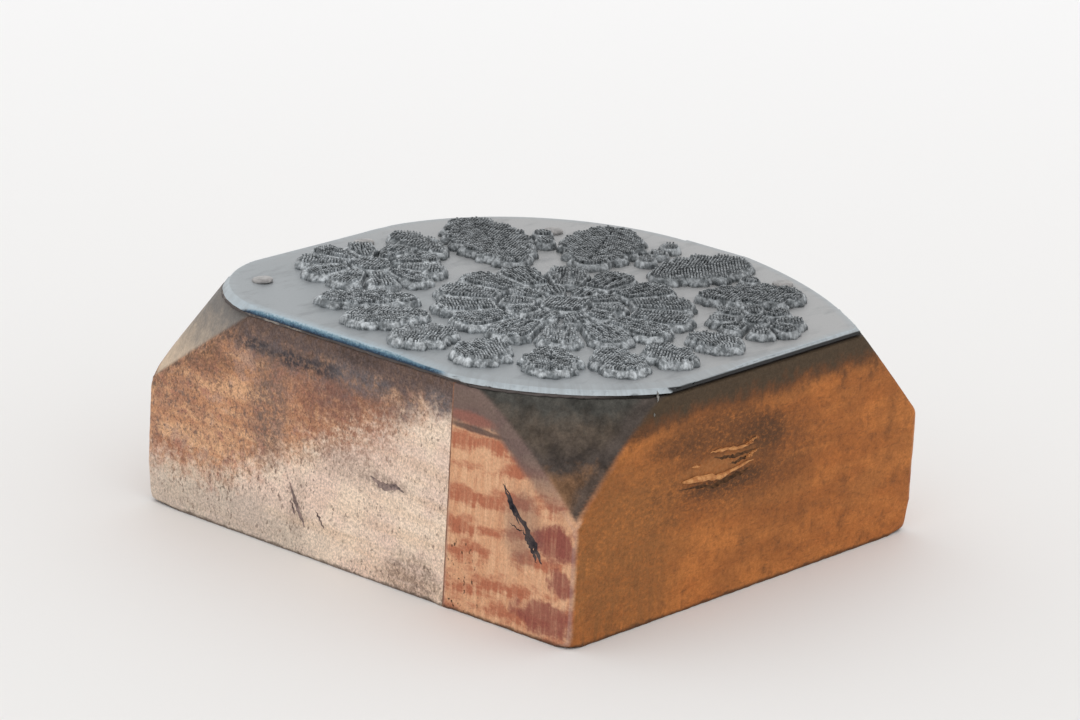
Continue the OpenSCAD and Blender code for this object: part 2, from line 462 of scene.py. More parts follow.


# Darker along the edges that the block stands on
def darkerFoot(colour, place, blots, s):
    foot = fit(jostled(split(place)[2], blots, 1.0), *s["foot"])
    return mix(times(foot, fit(surfaceMark(place, "arris"), 0.2, 0.7)), colour, s["darkBrown"])


def makePaleWood(s):
    material, shader, place = startMaterial("paleEndGrain", 0.0, 0.72, 0.2)
    x, y, z = split(place)
    grain = stretched(place, (1, 0.05, 1))
    broad = noise(grain, 0.2, 4, 0.6)
    blots = noise(grain, 0.8, 5, 0.68)
    strokes = noise(grain, (2.6, 1, 0.5), 4, 0.7, (0, 0.12, 0))
    flecks = noise(grain, (3.0, 1, 1.6), 3, 0.7, (0, -0.3, 0))
    fray = noise(grain, 1.7, 5, 0.75)
    grit = noise(grain, (5.0, 1, 4.2), 3, 0.8)
    rings = noise(grain, (0.07, 1, 0.6), 3, 0.6)
    toFront = fit(y, frontFade, -frontFade)
    colour = mix(fit(broad, 0.38, 0.62), s["cream"], s["rose"])
    colour = laid(colour, s["tan"], rings, 0.45, 0.7, 0.4)
    washed = stain(place, (-18, 0, 0), (14, 0, 5), 0.5, 0.4, 0.8)
    colour = mix(times(washed, 0.6), colour, s["wash"])
    # handled orange above a slanting line, banded along the rings
    line = fit(x, *s["orangeLine"], "LINEAR")
    ragged = sums("MULTIPLY_ADD", blots, 8.0, sums("MULTIPLY_ADD", fray, 6.0, -7.0))
    over = sums("ADD", sums("SUBTRACT", z, line), ragged)
    warm = mix(fit(rings, 0.42, 0.58), s["peach"], s["orange"])
    warm = laid(warm, s["rust"], blots, 0.5, 0.66, 0.75)
    clouds = noise(grain, 0.34, 5, 0.66)
    warm = laid(warm, s["rust"], clouds, 0.5, 0.62, 0.6)
    warm = laid(warm, s["mauve"], clouds, 0.46, 0.36, 0.5)
    warm = mix(fit(noise(grain, 0.55, 5, 0.7), 0.54, 0.64, 0, 0.6), warm, s["flush"])
    colour = mix(fit(over, -2.0, 3.0, 0, 0.92), colour, warm)
    # ink that crept down from the plate
    ink = stain(place, s["inkCentre"], s["inkRadii"], 0.6, 0.4, 0.6)
    inkTone = mix(fit(noise(grain, 0.4, 4, 0.6), 0.46, 0.6), s["ink"], s["inkBlue"])
    inkTone = laid(inkTone, s["orange"], flecks, 0.5, 0.68, 0.5)
    colour = mix(times(ink, fit(blots, 0.32, 0.55, 0.45, 0.95)), colour, inkTone)
    crept = jostled(z, blots, 6.0)
    underPlate = times(fit(crept, 18.0, 20.8), fit(x, -24, -19, 0.3, 0.88))
    colour = mix(underPlate, colour, s["ink"])
    # pores clogged with dirt, where hands have been
    pores = noise(grain, (2.2, 1, 1.9), 5, 0.8, (0, 0.5, 0))
    pores = times(fit(pores, 0.52, 0.64), fit(over, -1.0, 4.0, 0.1, 0.85))
    colour = mix(pores, colour, s["stroke"])
    specks = fit(noise(grain, 3.2, 3, 0.7), 0.58, 0.64)
    colour = mix(times(specks, fit(over, -2.0, 2.0, 0, 0.7)), colour, s["speck"])
    # short dark flecks everywhere, and specks thick in places
    fleckMask = fit(clouds, 0.4, 0.6, 0.15, 0.85)
    colour = mix(times(fit(flecks, 0.56, 0.66), fleckMask), colour, s["stroke"])
    dots = fit(noise(stretched(grain, (1, 1, 0.7)), 2.0, 2, 0.5), 0.64, 0.7)
    dotMask = fit(noise(grain, 0.16, 2), 0.42, 0.6, 0.0, 0.6)
    colour = mix(times(dots, dotMask), colour, s["speck"])
    broken = fit(fray, 0.42, 0.58, 0.3, 1.0)
    for across, up, wide, tall, depth, name in s["patches"]:
        patch = times(stain(place, (across, 0, up), (wide, 0, tall), 0.7, 0.9, 0.9), broken)
        colour = mix(times(patch, times(toFront, depth)), colour, s[name])
    rimDirt = times(fit(surfaceMark(place, "sawRim"), 0.3, 0.95), broken)
    colour = mix(times(rimDirt, 0.8), colour, s["speck"])
    # long grain on the left, darkened by hands and by ink along its top
    streak = noise(place, (2.0, 0.06, 1.4), 5, 0.65)
    longGrain = mix(fit(streak, 0.3, 0.7), s["longGrain"], s["longPale"])
    handled = noise(stretched(place, (1, 0.5, 1)), 0.15, 5, 0.66)
    longGrain = laid(longGrain, s["rust"], handled, 0.44, 0.64, 0.7)
    longGrain = laid(longGrain, s["stroke"], flecks, 0.54, 0.64, 0.5)
    longGrain = laid(longGrain, s["ink"], crept, 14.0, 19.0, 0.8)
    longGrain = mix(fit(surfaceMark(place, "arris"), 0.5, 1.0, 0, 0.4), longGrain, s["speck"])
    colour = mix(surfaceMark(place, "endGrain"), longGrain, colour)
    colour = toned(colour, grit, 0.36, 0.64, 0.70, 1.26)
    # sawn corners
    sawnTone = jostled(z, blots, 8.0)
    sawn = mix(fit(sawnTone, 12, 21.5), s["sawnLow"], s["sawnHigh"])
    sawn = toned(sawn, grit, 0.36, 0.64, 0.88, 1.1)
    colour = mix(surfaceMark(place, "sawn"), colour, sawn)
    colour = darkerFoot(colour, place, blots, s)
    return finishMaterial(material, shader, colour, sums("ADD", grit, strokes), 0.07, 0.6)


# Wood of the narrow strip: red-banded end grain, orange-brown long grain on the right face
redWood = {
    "cream": (0.76, 0.46, 0.28),
    "peach": (0.64, 0.33, 0.185),
    "red": (0.43, 0.145, 0.08),
    "wine": (0.27, 0.082, 0.062),
    "wash": (0.142, 0.106, 0.098),
    "topRed": (0.33, 0.125, 0.092),
    "washLine": (0.10, 0.068, 0.063),
    # pale colour for the painted highlight along the arrises
    "arrisHighlight": (0.40, 0.27, 0.235),
    "long": (0.43, 0.145, 0.039),
    "longWarm": (0.52, 0.188, 0.051),
    "longDark": (0.125, 0.056, 0.026),
    "olive": (0.066, 0.05, 0.032),
    "moss": (0.25, 0.108, 0.038),
    # dark brown for soot smudges, also used for a painted shadow under a splinter
    "sootAndShadow": (0.058, 0.034, 0.021),
    "torn": (0.56, 0.24, 0.08),
    "sawnBlack": (0.06, 0.057, 0.05),
    "sawnBrown": (0.19, 0.102, 0.055),
    "sawnShade": (0.066, 0.052, 0.045),
    "sawnDim": (0.092, 0.07, 0.053),
    "darkBrown": (0.06, 0.035, 0.022),
    "foot": (0.5, 0.1, 0, 0.8),
    "tilt": -0.16,
    "bandRate": 2.35,
    # across, up, two radii and depth of the wine-coloured patches
    "winePatches": (
        (24.5, 9.5, 2.3, 1.7, 1.0),
        (25.3, 6.1, 1.3, 1.2, 0.9),
        (23.6, 2.3, 3.4, 1.5, 0.9),
    ),
    # across, up, two radii, depth and colour of marks below the plate
    "topMarks": (
        (13.8, 18.6, 2.7, 0.6, 0.7, "topRed"),
        (14.4, 17.7, 3.4, 0.3, 0.85, "washLine"),
    ),
    # across, up, two radii, depth and colour of marks on the right face
    "smudges": (
        (-18.5, 8.0, 8.0, 8.0, 0.8, "moss"),
        (0.8, 14.9, 3.6, 2.0, 1.0, "sootAndShadow"),
        # painted shadow under the lower splinter
        (-3.6, 11.4, 5.2, 1.1, 1.0, "sootAndShadow"),
        (-12.0, 16.6, 4.0, 1.0, 0.4, "sootAndShadow"),
        (-17.5, 19.3, 3.0, 1.2, 0.9, "sootAndShadow"),
        (-6.0, 16.8, 6.5, 1.8, 0.75, "longDark"),
        (-2.0, 13.0, 12.0, 5.0, 0.7, "longDark"),
        (8.0, 4.0, 14.0, 3.5, 0.12, "longDark"),
        (-5.0, 13.3, 5.0, 1.0, 0.4, "torn"),
    ),
}


def makeRedWood(s):
    material, shader, place = startMaterial("redEndGrain", 0.0, 0.68, 0.12)
    x, y, z = split(place)
    grain = stretched(place, (1, 0.05, 1))
    blots = noise(place, 0.6, 6, 0.66)
    grit = noise(place, (4.5, 3.0, 3.6), 3, 0.8)
    toFront = fit(y, frontFade, -frontFade)
    # soft bands that tilt up to the right, broken by upright rays
    rays = noise(grain, (1.7, 1, 0.16), 3, 0.65)
    sway = noise(grain, (0.2, 1, 0.2), 3, 0.55)
    level = sums("MULTIPLY_ADD", x, s["tilt"], z)
    level = sums("MULTIPLY_ADD", sway, 3.0, level)
    level = sums("MULTIPLY_ADD", rays, 1.6, level)
    wave = sums("SINE", times(level, s["bandRate"]))
    uneven = noise(grain, (0.22, 1, 0.5), 5, 0.66, (0, 0.1, 0))
    wave = sums("MULTIPLY_ADD", uneven, 7.0, sums("MULTIPLY_ADD", wave, 0.7, -3.5))
    colour = mix(fit(rays, 0.3, 0.68, 0.1, 0.9), s["cream"], s["peach"])
    reds = times(fit(wave, -0.5, 0.9), fit(rays, 0.32, 0.58, 0.7, 0.95))
    colour = mix(reds, colour, s["red"])
    lines = noise(grain, (4.5, 1, 0.35), 3, 0.6)
    colour = laid(colour, s["red"], lines, 0.54, 0.7, 0.3)
    for across, up, wide, tall, depth in s["winePatches"]:
        patch = stain(place, (across, 0, up), (wide, 0, tall), 1.0, 0.9, 0.6)
        shaded = times(patch, fit(rays, 0.3, 0.6, 0.7, 1.0))
        colour = mix(times(shaded, times(toFront, depth)), colour, s["wine"])
    dots = fit(noise(stretched(grain, (1, 1, 0.7)), 2.4, 2, 0.5), 0.6, 0.68)
    dotZone = stain(place, (12.5, 0, 3.0), (3.4, 0, 4.5), 0.4, 0.6, 0.8)
    colour = mix(times(dots, dotZone), colour, s["darkBrown"])
    halo = times(stain(place, (20.4, 0, 10.2), (2.0, 0, 3.4), 0.6, 0.7, 0.9), toFront)
    colour = mix(times(halo, 0.42), colour, s["wash"])
    # ink wash under the plate and down the upper part of the sawn corner
    rim = sums("MULTIPLY_ADD", blots, 0.4, surfaceMark(place, "sawRim"))
    beside = times(fit(rim, 0.44, 0.78), fit(z, 10.5, 17.0))
    underPlate = fit(sums("MULTIPLY_ADD", blots, 2.0, z), 18.6, 19.4)
    washed = times(sums("MAXIMUM", underPlate, beside), 0.92)
    colour = mix(washed, colour, s["wash"])
    for across, up, wide, tall, depth, name in s["topMarks"]:
        mark = times(stain(place, (across, 0, up), (wide, 0, tall), 0.5, 1.2, 0.8), toFront)
        colour = mix(times(mark, depth), colour, s[name])
    # painted highlight along the lower arrises of the strip
    arrisHighlightMask = times(fit(surfaceMark(place, "arris"), 0.88, 1.0, 0, 0.4), fit(z, 14, 10))
    colour = mix(arrisHighlightMask, colour, s["arrisHighlight"])
    # long grain of the right face
    streak = noise(place, (1.0, 0.1, 0.5), 5, 0.62)
    fleck = noise(place, (1.0, 0.9, 4.2), 4, 0.65)
    longGrain = mix(fit(streak, 0.36, 0.64), s["long"], s["longWarm"])
    cloudy = noise(place, 0.13, 4, 0.6)
    longGrain = laid(longGrain, s["longDark"], cloudy, 0.46, 0.62, 0.28)
    drips = noise(place, (1.0, 1.1, 0.2), 5, 0.68)
    drips = times(fit(drips, 0.46, 0.6), fit(y, -7, -18, 0, 0.75))
    drips = times(drips, fit(z, 11, 4, 0.2, 1.0))
    longGrain = mix(drips, longGrain, s["moss"])
    longGrain = laid(longGrain, s["longDark"], blots, 0.48, 0.7, 0.5)
    longGrain = laid(longGrain, s["longDark"], fleck, 0.55, 0.68, 0.4)
    broken = fit(noise(stretched(place, (1, 0.7, 1.2)), 2.2, 6, 0.78), 0.34, 0.58, 0.2, 1.0)
    for across, up, wide, tall, depth, name in s["smudges"]:
        patch = times(stain(place, (0, across, up), (0, wide, tall), 0.6, 0.6, 0.9), broken)
        longGrain = mix(times(patch, depth), longGrain, s[name])
    topEdge = jostled(z, blots, 4.0)
    longGrain = laid(longGrain, s["longDark"], topEdge, 17.4, 19.4, 0.92)
    longGrain = laid(longGrain, s["olive"], topEdge, 18.8, 20.4, 0.88)
    colour = mix(surfaceMark(place, "endGrain"), longGrain, colour)
    # the front corner's sawn face took the ink, most at the top and along its right arris
    drop = jostled(z, blots, 5.0)
    sawn = ramp(fit(drop, 9, 22, 0, 1, "LINEAR"), (0.06, s["sawnShade"]), (0.18, s["sawnBrown"]),
                (0.45, s["sawnBrown"]), (0.58, s["sawnShade"]), (0.73, s["sawnDim"]), (0.92, s["sawnBlack"]))
    besideRight = jostled(x, blots, 1.6)
    sawn = mix(fit(besideRight, rightX - 1.9, rightX - 1.0, 0, 0.85), sawn, s["sawnShade"])
    sawn = toned(sawn, noise(place, 0.55, 5, 0.7), 0.36, 0.64, 0.62, 1.42)
    colour = mix(surfaceMark(place, "sawn"), colour, sawn)
    colour = toned(colour, grit, 0.3, 0.7, 0.76, 1.2)
    colour = darkerFoot(colour, place, blots, s)
    return finishMaterial(material, shader, colour, sums("ADD", grit, fleck), 0.07, 0.55)


# Dirt in cracks, glue and other plain mottled finishes
def makeMottled(name, low, high, grain, roughness, metallic=0.0, depth=0.05):
    material, shader, place = startMaterial(name, metallic, roughness, 0.3)
    spread = noise(place, grain, 5, 0.65)
    return finishMaterial(material, shader, mix(fit(spread, 0.35, 0.65), low, high), spread, depth)


# Card: dark as inked card and as painted shade under the plate edge, with bare pale fibres, and black where
# the plate shuts the light out on the right
cardFinish = {"inked": (0.10, 0.085, 0.08), "bare": (0.30, 0.27, 0.245), "paintedShade": (0.016, 0.014, 0.012)}


def makeCardPaper(s):
    material, shader, place = startMaterial("stainedCard", 0.0, 0.85, 0.2)
    fibres = noise(place, (0.7, 0.7, 2.5), 5, 0.7)
    torn = noise(place, 0.22, 3, 0.6)
    x = split(place)[0]
    bare = times(fit(fibres, 0.5, 0.64), fit(torn, 0.5, 0.62))
    bare = times(bare, fit(x, stripLow.x + 1, stripLow.x - 2))
    colour = mix(bare, s["inked"], s["bare"])
    # painted shade: the card turns black towards the right, under the plate
    colour = mix(fit(x, rightX - 5, rightX - 2), colour, s["paintedShade"])
    return finishMaterial(material, shader, colour, fibres, 0.05, 0.6)


# Etched zinc: dull grey floor lighter towards the back as a painted reflection, brushed rim, painted shade
# on the lower right walls, blue ink on the front edge under a rubbed band with a painted highlight
zincFinish = {
    "cool": (0.345, 0.366, 0.38),
    # lighter grey towards the back: a painted reflection of the white wall
    "paleBackReflection": (0.40, 0.40, 0.40),
    "pit": (0.19, 0.20, 0.21),
    "brushed": (0.40, 0.435, 0.455),
    "edge": (0.47, 0.52, 0.55),
    # painted shade for the lower part of the walls on the right
    "wallShadow": (0.018, 0.018, 0.019),
    "navy": (0.014, 0.032, 0.062),
    "blue": (0.065, 0.145, 0.225),
    "sky": (0.19, 0.31, 0.385),
    # rubbed zinc with a painted highlight along the lit front arris
    "rubbedAndHighlight": (0.43, 0.53, 0.59),
    "strokeRadius": 24.0,
    "blueFrom": 11.5,
    "blueTo": 9.0,
}


def makeZincFloor(s, low, high, front):
    material, shader, place = startMaterial("etchedZinc", 0.45, 0.5)
    x, y, z = split(place)
    clouds = noise(place, 0.16, 5, 0.6)
    grain = noise(place, 5.5, 4, 0.7)
    away = sums("MULTIPLY_ADD", x, 0.2, y)
    away = jostled(away, clouds, 24.0)
    # painted reflection: the floor lightens from front to back
    colour = mix(fit(away, -22, 14), s["cool"], s["paleBackReflection"])
    smears = noise(place, (0.5, 0.16, 0.5), 5, 0.65, (0, 0, 0.6))
    colour = laid(colour, s["pit"], smears, 0.5, 0.68, 0.4)
    colour = laid(colour, s["pit"], grain, 0.58, 0.72, 0.45)
    # strokes of the file across the rim, which point to the middle of the plate
    along = times(sums("ARCTAN2", y, x), s["strokeRadius"])
    strokes = noise(column(along), 1.5, 4, 0.7)
    brushed = mix(fit(strokes, 0.4, 0.62), s["cool"], s["brushed"])
    rim = fit(sums("MULTIPLY_ADD", clouds, 0.6, surfaceMark(place, "rim")), 0.55, 1.0)
    colour = mix(times(rim, 0.55), colour, brushed)
    wall = mix(fit(strokes, 0.36, 0.6), s["brushed"], s["edge"])
    # painted shade: the lower part of the walls on the right is painted near black
    paintedShade = mix(fit(x, -4, 4), fit(y, -16, 8), fit(y, -12.7, -12.3))
    paintedShade = times(paintedShade, fit(z, low + 0.42, low + 0.28))
    wall = mix(paintedShade, wall, s["wallShadow"])
    colour = mix(surfaceMark(place, "wall"), colour, wall)
    # blue ink, darkest along the foot of the edge, with a rubbed band and painted highlight at its top
    jagged = noise(place, (5.5, 2.0, 5.5), 5, 0.8)
    height = fit(z, low, high, 0, 1, "LINEAR")
    height = jostled(height, jagged, 1.7)
    blueTone = ramp(height, (0.14, s["navy"]), (0.4, s["blue"]), (0.72, s["sky"]), (0.96, s["rubbedAndHighlight"]))
    inkAlong = jostled(x, clouds, 8.0)
    inked = times(fit(y, front + 0.32, front + 0.05), fit(inkAlong, s["blueFrom"], s["blueTo"]))
    # a rubbed band along the front edge, partly a painted highlight on the lit arris
    rubbedAndHighlight = times(fit(y, front + 1.5, front + 0.2), fit(jagged, 0.34, 0.54))
    rubbedAndHighlight = times(rubbedAndHighlight, fit(inkAlong, s["blueFrom"], s["blueTo"], 0, 0.5))
    colour = mix(rubbedAndHighlight, colour, s["rubbedAndHighlight"])
    colour = mix(inked, colour, blueTone)
    return finishMaterial(material, shader, colour, sums("MULTIPLY_ADD", strokes, rim, grain), 0.03, 0.6)


# Raised design: pale shoulders, a dark field between the posts as painted shade, posts painted lighter up to
# a painted highlight on their tips
reliefFinish = {
    "shoulder": (0.52, 0.55, 0.57),
    "shoulderDark": (0.16, 0.176, 0.186),
    # painted shade low between the posts, rising to a painted highlight on the post tips
    "field": (0.045, 0.048, 0.05),
    "postFoot": (0.06, 0.064, 0.066),
    "postSide": (0.155, 0.176, 0.184),
    "postTip": (0.41, 0.465, 0.48),
    "blue": (0.07, 0.16, 0.36),
    # darker from front to back
    "shade": (-14, 12, 1.0, 0.7),
    "postShade": (-14, 12, 1.0, 0.74),
    "blueSpots": (((8.4, -15.3, 0), 1.6), ((-7.3, -15.9, 0), 1.3)),
}


def makeReliefShoulder(s):
    material, shader, place = startMaterial("castShoulder", 0.5, 0.36)
    y = split(place)[1]
    patches = noise(place, 1.3, 4, 0.65)
    flutes = noise(place, (3.4, 3.4, 0.5), 3, 0.6)
    colour = mix(fit(patches, 0.38, 0.62), s["shoulderDark"], s["shoulder"])
    colour = toned(colour, flutes, 0.36, 0.64, 0.6, 1.25)
    colour = toned(colour, y, *s["shade"], "SMOOTHSTEP")
    return finishMaterial(material, shader, colour, flutes, 0.1, 0.7)


def makeReliefPosts(s, low, high):
    material, shader, place = startMaterial("etchedPosts", 0.4, 0.45)
    y, z = split(place)[1:]
    rise = fit(z, low, high, 0, 1, "LINEAR")
    # painted light: dark near the field as painted shade, lighter up to a painted highlight at the tips
    colour = ramp(rise, (0.0, s["field"]), (0.3, s["postFoot"]), (0.78, s["postSide"]), (0.97, s["postTip"]))
    patches = noise(place, 0.35, 4, 0.6)
    colour = laid(colour, s["postSide"], patches, 0.45, 0.7, 0.5)
    colour = toned(colour, y, *s["postShade"], "SMOOTHSTEP")
    for centre, radius in s["blueSpots"]:
        spot = stain(place, centre, (radius, radius, 0), 0.6, 1.0, 0.8)
        colour = mix(times(spot, 0.6), colour, s["blue"])
    return finishMaterial(material, shader, colour)


paleGrain = makePaleWood(paleWood)
redGrain = makeRedWood(redWood)
crackDirt = makeMottled("crackDirt", (0.022, 0.020, 0.027), (0.115, 0.086, 0.08), 0.8, 0.85)
nickDirt = makeMottled("nickDirt", (0.12, 0.09, 0.085), (0.34, 0.25, 0.22), 2.2, 0.85)
tornShade = makeMottled("tornShade", (0.06, 0.03, 0.014), (0.17, 0.078, 0.032), 1.8, 0.85)
tornWood = makeMottled("tornWood", (0.40, 0.15, 0.045), (0.64, 0.31, 0.115), 1.4, 0.7)
gluePaint = makeMottled("hideGlue", (0.17, 0.08, 0.05), (0.36, 0.18, 0.11), 0.9, 0.6)
bradSteel = makeMottled("dullSteel", (0.25, 0.243, 0.24), (0.42, 0.405, 0.395), 1.3, 0.4, 0.55)
burrMetal = makeMottled("burrMetal", (0.17, 0.165, 0.155), (0.36, 0.345, 0.32), 1.5, 0.45, 0.4)
cardPaper = makeCardPaper(cardFinish)
print("materials made")

# Boards: the sawn shape from the frame, its arrises worn away and its marks cut in
boardSettings = {
    "voxel": 0.3,
    "jointKeep": 0.6,
    "wearPasses": 2,
    "knockPasses": 60,
    "knockFull": 1.2,
    "mergeWithin": 0.02,
    "cutMerge": 0.01,
    "creaseAngle": 50,
    "arrisShift": 0.04,
    "arrisFrom": 0.3,
    "arrisReach": 2.0,
    "arrisWide": 0.6,
    "sawReach": 3.0,
    "chipSize": 1.1,
    "chipDepth": 0.22,
    "chipLevel": 0.62,
    # how far a normal points up or along the grain on sawn faces, ends, flats and leaning arrises
    "slant": (0.22, 0.45),
    "endFacing": (0.4, 0.8),
    "flatFacing": 0.93,
    "leaning": (0.45, 0.7),
    # a point on the flat cut across the left corner, and the way it faces
    "leftCut": ((-13.5, frontY, 21.4), (-0.356, -0.80, 0.482)),
    # place and reach of corners that have been knocked round
    "knocks": (
        ((leftX, frontY, 0), 3.2),
        ((leftX, backY, 0), 2.2),
        ((rightX, backY, 0), 2.6),
        ((rightX, frontY, 0), 1.4),
    ),
}


def weigh(piece, name, weights):
    group = piece.vertex_groups.new(name=name)
    for i in np.flatnonzero(weights > 0.01):
        group.add([int(i)], float(min(weights[i], 1.0)), "REPLACE")


# Pushes a weighted group of points in and out by a cloudy pattern
def ruffle(piece, name, size, depth, level, group):
    clouds = bpy.data.textures.new(name, "CLOUDS")
    clouds.noise_scale = size * mm
    applyModifier(piece, "DISPLACE", texture=clouds, texture_coords="LOCAL", strength=depth * mm,
                  mid_level=level, vertex_group=group)


def wornBoard(node, name, jointFace, s):
    piece = copyNode(node, name)
    selectAll(piece)
    cutAt, cutFacing = s["leftCut"]
    bpy.ops.mesh.bisect(plane_co=Vector(cutAt) * mm, plane_no=cutFacing, clear_outer=True, use_fill=True)
    objectMode()
    applyModifier(piece, "REMESH", mode="VOXEL", voxel_size=s["voxel"] * mm, use_smooth_shade=True)
    before = vertexArray(piece.data)
    beside = np.abs(before[:, 0] - jointFace) < s["jointKeep"]
    weigh(piece, "free", 1.0 - beside)
    applyModifier(piece, "SMOOTH", factor=0.5, iterations=s["wearPasses"], vertex_group="free")
    shift = np.linalg.norm(vertexArray(piece.data) - before, axis=1) / s["arrisShift"]
    weigh(piece, "arris", np.where(shift > s["arrisFrom"], shift, 0))
    ruffle(piece, name + "Chips", s["chipSize"], s["chipDepth"], s["chipLevel"], "arris")
    nearKnock = np.zeros(len(before))
    for corner, reach in s["knocks"]:
        distance = np.linalg.norm(before - np.array(corner), axis=1)
        nearKnock = np.maximum(nearKnock, np.clip(s["knockFull"] - distance / reach, 0, 1))
    weigh(piece, "knocks", nearKnock)
    applyModifier(piece, "SMOOTH", factor=0.5, iterations=s["knockPasses"], vertex_group="knocks")
    piece.vertex_groups.clear()
    # the glued edges stay square
    spots = vertexArray(piece.data)
    spots[np.abs(before[:, 0] - jointFace) < s["voxel"], 0] = jointFace
    for face in (frontY, backY):
        spots[beside & (np.abs(before[:, 1] - face) < s["voxel"]), 1] = face
    placeVertices(piece.data, spots)
    selectAll(piece)
    bpy.ops.mesh.remove_doubles(threshold=s["mergeWithin"] * mm)
    bpy.ops.mesh.dissolve_degenerate(threshold=s["mergeWithin"] * mm)
    objectMode()
    return piece


def nearestIn(spots):
    tree = kdtree.KDTree(len(spots))
    for i, spot in enumerate(spots):
        tree.insert(spot, i)
    tree.balance()
    return tree


def softStep(values, low, high):
    t = np.clip((values - low) / (high - low), 0, 1)
    return t * t * (3 - 2 * t)


# Which way each point of the uncut board faces, and how near it lies to its arrises and sawn corners
def boardMarks(piece, s):
    mesh = piece.data
    normals = np.empty(len(mesh.vertices) * 3, np.float32)
    mesh.vertex_normals.foreach_get("vector", normals)
    normals = normals.reshape(-1, 3)
    spots = vertexArray(mesh)
    fromEnds = np.minimum(spots[:, 1] - frontY, backY - spots[:, 1])
    fromFaces = np.minimum(fromEnds, np.minimum(spots[:, 0] - leftX, rightX - spots[:, 0]))
    slanting = softStep(normals[:, 2], *s["slant"])
    sawn = slanting * softStep(fromFaces, s["arrisWide"] / 2, s["arrisWide"])
    onEnds = softStep(np.abs(normals[:, 1]), *s["endFacing"])
    onEnds = np.maximum(onEnds, 1 - softStep(fromEnds, 0, s["arrisWide"]))
    belowEnds = slanting * (1 - softStep(fromEnds, s["arrisWide"], 2 * s["arrisWide"]))
    endGrain = np.maximum(onEnds, belowEnds)
    edgy = np.abs(normals).max(axis=1) < s["flatFacing"]
    leaning = (normals[:, 2] > s["leaning"][0]) & (normals[:, 2] < s["leaning"][1])
    marks = {"sawn": sawn, "endGrain": endGrain}
    edges = {"arris": (edgy & ~leaning, s["arrisReach"]), "sawRim": (sawn > 0.5, s["sawReach"])}
    for name, (chosen, reach) in edges.items():
        edge = nearestIn(spots[chosen])
        marks[name] = np.array([max(0.0, 1 - edge.find(spot)[2] / reach) for spot in spots])
    return nearestIn(spots), marks


def paintMarks(piece, tree, marks):
    mesh = piece.data
    source = [tree.find(spot)[1] for spot in vertexArray(mesh)]
    addMarks(mesh, {name: values[source] for name, values in marks.items()})


# A spindle along a path, thickest at its peak, used to cut cracks and to lay splinters
def spindle(path, across, deep, face, seed, dirt, wander=0.1, peak=0.5, cuts=14, sides=8, lift=0.017,
            swells=(0.65, 1.25), thin=0.05, blunt=0.7):
    rng = random.Random(seed)
    deselectAll()
    bpy.ops.mesh.primitive_cylinder_add(vertices=sides, radius=1, depth=1)
    piece = bpy.context.object
    editMode("FACE")
    for k in range(1, cuts):
        selectEverything()
        bpy.ops.mesh.bisect(plane_co=(0, 0, k / cuts - 0.5), plane_no=(0, 0, 1))
    objectMode()
    points = [Vector(point) for point in path]
    outward = Vector(face)
    sideways = outward.cross((points[-1] - points[0]).normalized())
    drift = [rng.uniform(-wander, wander) for k in range(cuts + 1)]
    swell = [rng.uniform(*swells) for k in range(cuts + 1)]
    skew = math.log(0.5) / math.log(peak)
    for vertex in piece.data.vertices:
        t = vertex.co.z + 0.5
        k = round(t * cuts)
        leg = min(int(t * (len(points) - 1)), len(points) - 2)
        spot = points[leg].lerp(points[leg + 1], t * (len(points) - 1) - leg)
        girth = max(thin, math.sin(math.pi * min(max(t, 0.02), 0.98) ** skew) ** blunt) * swell[k]
        spot += sideways * (drift[k] + vertex.co.x * across * girth)
        spot += outward * (lift + vertex.co.y * deep * girth)
        vertex.co = spot * mm
    selectAll(piece)
    faceOutwards()
    objectMode()
    setMaterials(piece, dirt)
    return piece


def combine(piece, operation, other, **values):
    applyModifier(piece, "BOOLEAN", operation=operation, solver="EXACT", object=other,
                  material_mode="TRANSFER", **values)
    bpy.data.objects.remove(other)


# Cuts all the marks of a board at once, with the cutters made one clean body first
def cutMarks(piece, wood, cuts, s):
    cutter, *others = [spindle(**cut) for cut in cuts]
    for other in others:
        combine(cutter, "UNION", other, use_self=True)
    setMaterials(piece, wood)
    combine(piece, "DIFFERENCE", cutter)
    mergeClose(piece, s["cutMerge"])
    smoothBelow(s["creaseAngle"])


def onFront(points, proud):
    return [(x, frontY - proud, z) for x, z in points]


def onRight(points, proud):
    return [(rightX + proud, y, z) for y, z in points]


# Each row: points along the mark, how proud they lie, half width, depth, seed and what is unusual
def markRows(lie, face, dirt, rows):
    return [dict(path=lie(points, proud), across=across, deep=deep, face=face, seed=seed, dirt=dirt, **more)
            for points, proud, across, deep, seed, more in rows]


